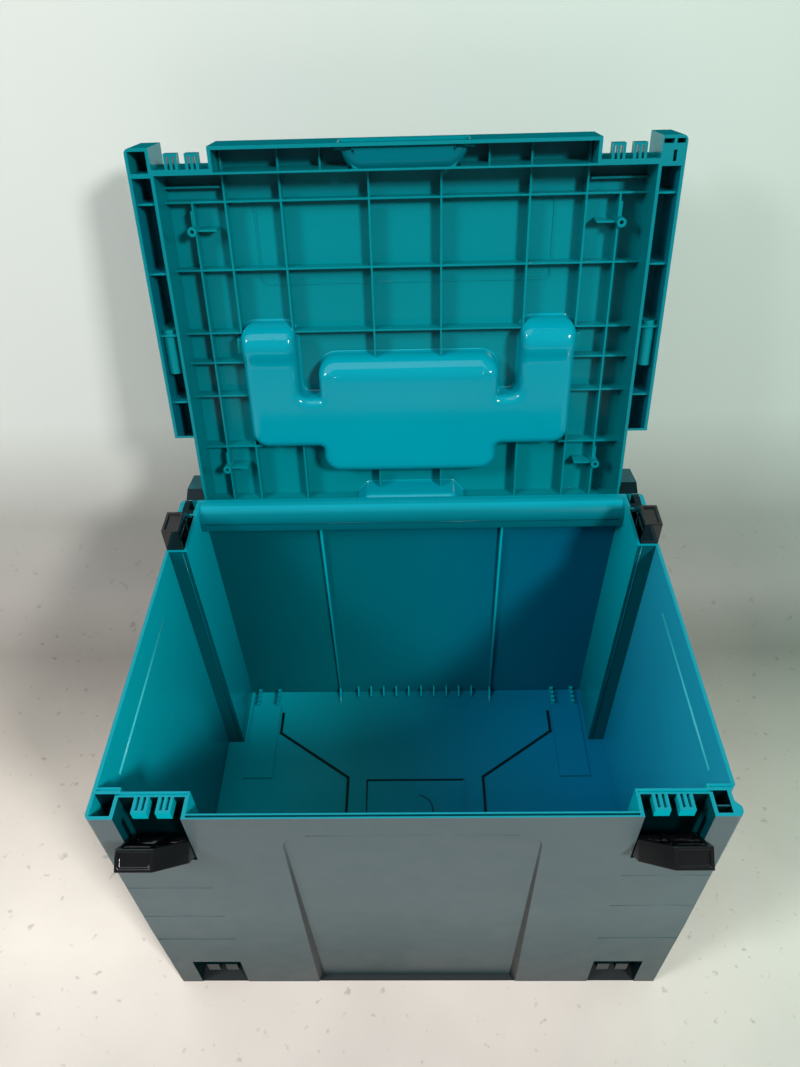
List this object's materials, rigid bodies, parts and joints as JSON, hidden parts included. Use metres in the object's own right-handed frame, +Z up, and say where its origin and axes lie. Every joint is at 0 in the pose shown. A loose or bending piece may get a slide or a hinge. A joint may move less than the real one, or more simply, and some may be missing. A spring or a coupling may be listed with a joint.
{
  "type": "hard tool case",
  "caption": "Stackable moulded tool case with a hinged ribbed lid, sliding pull-out latches, a recessed carry handle and foot notches that lock onto a case below.",
  "frame": {"origin": "centre of the case's flat base, on the ground", "axes": "+Z up out of the open case, -Y towards the front latches, +X to the right seen from the front"},
  "size_m": [0.396, 0.4204, 0.5467],
  "materials": {
    "shell": "teal moulded plastic, glossy inside, fine grain outside",
    "latch": "black glossy moulded plastic",
    "handle": "black moulded plastic",
    "pin": "plain steel wire pin"
  },
  "bodies": {
    "body": {"body_shell": "shell", "hinge_pin_left": "pin", "hinge_pin_right": "pin"},
    "lid": {"lid_shell": "shell", "handle_pin_left": "pin", "handle_pin_right": "pin"},
    "handle": {"carry_handle": "handle"},
    "front_slide_left": {"front_latch_pin_left": "pin"},
    "front_latch_left": {"front_latch_left": "latch"},
    "front_slide_right": {"front_latch_pin_right": "pin"},
    "front_latch_right": {"front_latch_right": "latch"},
    "side_slide_left": {"side_latch_pin_left": "pin"},
    "side_latch_left": {"side_latch_left": "latch"},
    "side_slide_right": {"side_latch_pin_right": "pin"},
    "side_latch_right": {"side_latch_right": "latch"}
  },
  "joints": [
    {"name": "lid_hinge", "type": "hinge", "parent": "body", "child": "lid", "pos_m": [0, 0.142, 0.266], "axis": [1, 0, 0], "range_deg": [0, 102]},
    {"name": "handle_hinge", "type": "hinge", "parent": "lid", "child": "handle", "pos_m": [0, 0.20877, 0.39494], "axis": [1, 0, 0], "range_deg": [0, 90]},
    {"name": "front_latch_slide_left", "type": "slide", "parent": "body", "child": "front_slide_left", "axis": [0, 0, 1], "range_m": [0, 0.0295]},
    {"name": "front_latch_tilt_left", "type": "hinge", "parent": "front_slide_left", "child": "front_latch_left", "pos_m": [-0.16, -0.14, 0.233], "axis": [1, 0, 0], "range_deg": [-40, 0]},
    {"name": "front_latch_slide_right", "type": "slide", "parent": "body", "child": "front_slide_right", "axis": [0, 0, 1], "range_m": [0, 0.0295]},
    {"name": "front_latch_tilt_right", "type": "hinge", "parent": "front_slide_right", "child": "front_latch_right", "pos_m": [0.16, -0.14, 0.233], "axis": [1, 0, 0], "range_deg": [-40, 0]},
    {"name": "side_latch_slide_left", "type": "slide", "parent": "body", "child": "side_slide_left", "axis": [0, 0, 1], "range_m": [-0.0295, 0]},
    {"name": "side_latch_tilt_left", "type": "hinge", "parent": "side_slide_left", "child": "side_latch_left", "pos_m": [-0.19, 0.105, 0.2625], "axis": [0, -1, 0], "range_deg": [0, 40]},
    {"name": "side_latch_slide_right", "type": "slide", "parent": "body", "child": "side_slide_right", "axis": [0, 0, 1], "range_m": [-0.0295, 0]},
    {"name": "side_latch_tilt_right", "type": "hinge", "parent": "side_slide_right", "child": "side_latch_right", "pos_m": [0.19, 0.105, 0.2625], "axis": [0, 1, 0], "range_deg": [0, 40]}
  ]
}
